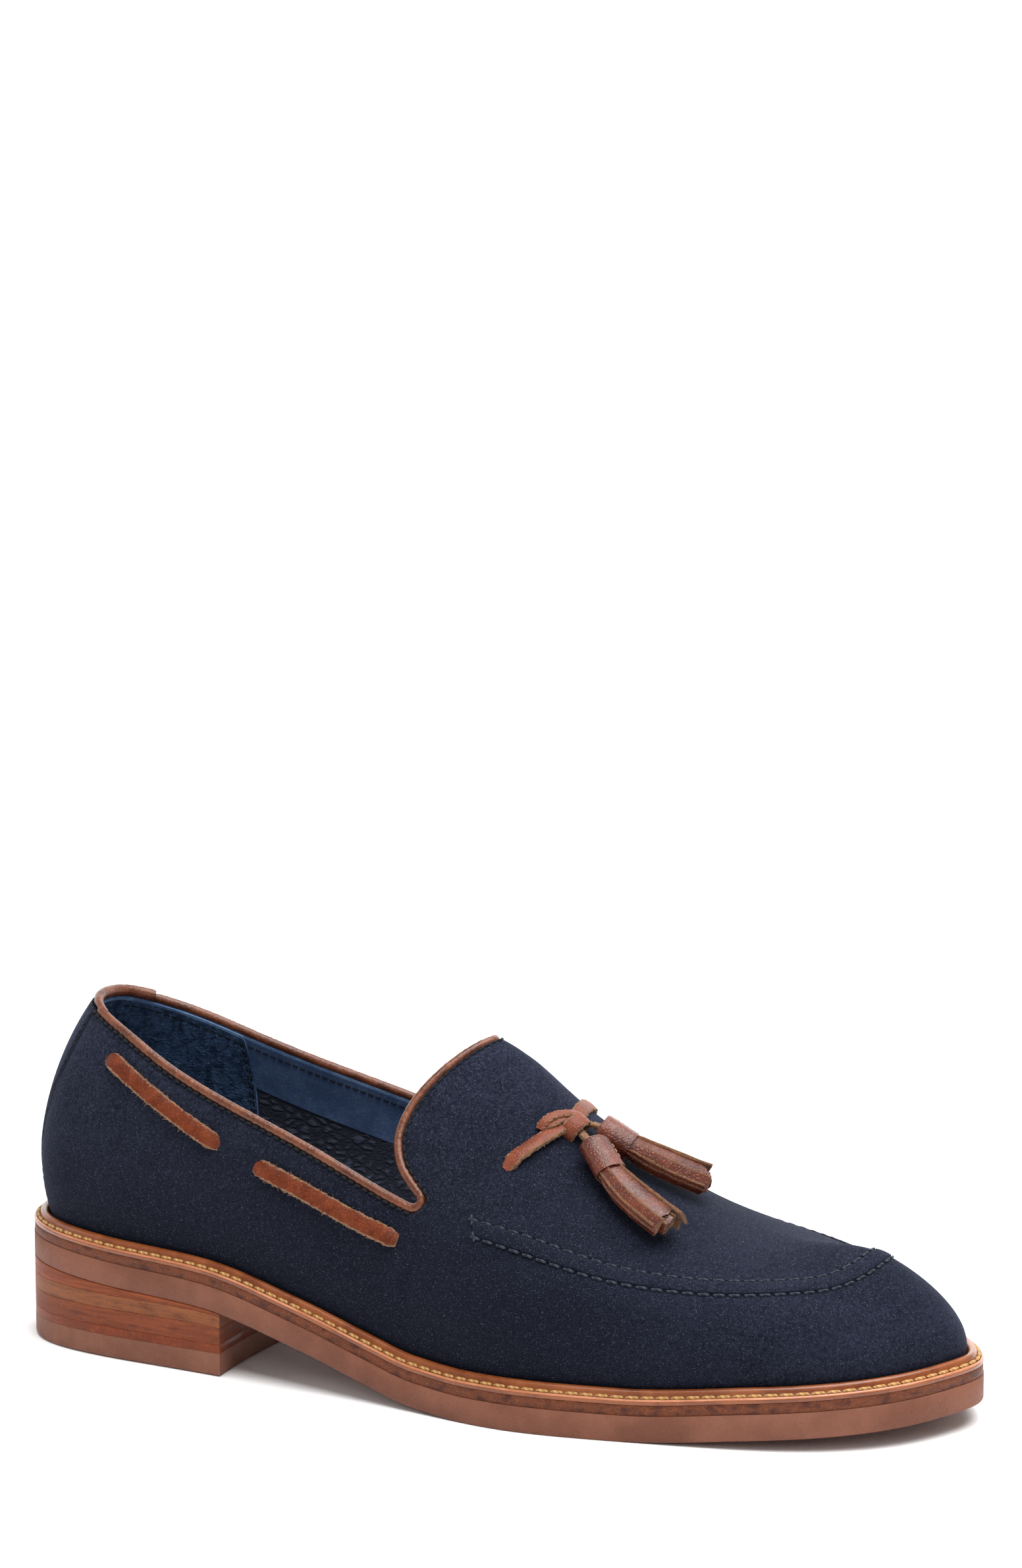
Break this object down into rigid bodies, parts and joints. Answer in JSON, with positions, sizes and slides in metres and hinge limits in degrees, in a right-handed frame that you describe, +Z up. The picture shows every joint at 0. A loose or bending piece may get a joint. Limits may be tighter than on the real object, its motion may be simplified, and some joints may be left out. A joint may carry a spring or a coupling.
{
  "type": "tassel loafer",
  "caption": "Right loafer with a suede upper, piped collar, side laces, tied strap with tassels, storm welt and stacked heel.",
  "frame": {"origin": "middle of the sole outline's box on the floor", "axes": "+X to the toe, +Y to the wearer's left (the medial side of this right shoe), +Z up"},
  "size_m": [0.3024, 0.1084, 0.1083],
  "materials": {
    "brown_rubber": "matte, worn speckle",
    "midsole_leather": "dark burnished edge",
    "welt_leather": "semi-gloss, burnished",
    "navy_suede": "nap, matte",
    "insole_leather": "smooth",
    "heel_layer_red": "smooth",
    "lift_leather": "cut edge, fibrous",
    "brown_leather": "smooth, semi-gloss",
    "raw_edge_leather": "smooth face with raw edges",
    "tassel_leather": "fine grain, semi-gloss"
  },
  "bodies": {
    "root": {"outsole": "brown_rubber", "midsole": "midsole_leather", "welt": "welt_leather", "upper": "navy_suede", "insole": "insole_leather", "top_lift": "brown_rubber", "heel_layer": "heel_layer_red", "heel_lift_1": "lift_leather", "heel_lift_2": "lift_leather", "heel_lift_3": "lift_leather", "collar_piping": "brown_leather", "heel_binding": "brown_leather", "side_lace_lateral_rear": "raw_edge_leather", "side_lace_lateral_front": "raw_edge_leather", "side_lace_medial_rear": "raw_edge_leather", "side_lace_medial_front": "raw_edge_leather", "vamp_strap_lateral": "raw_edge_leather", "vamp_strap_medial": "raw_edge_leather", "vamp_loop": "raw_edge_leather", "vamp_knot": "raw_edge_leather", "thong_near": "raw_edge_leather", "thong_far": "raw_edge_leather", "tassel_near": "tassel_leather", "tassel_far": "tassel_leather"}
  },
  "joints": []
}
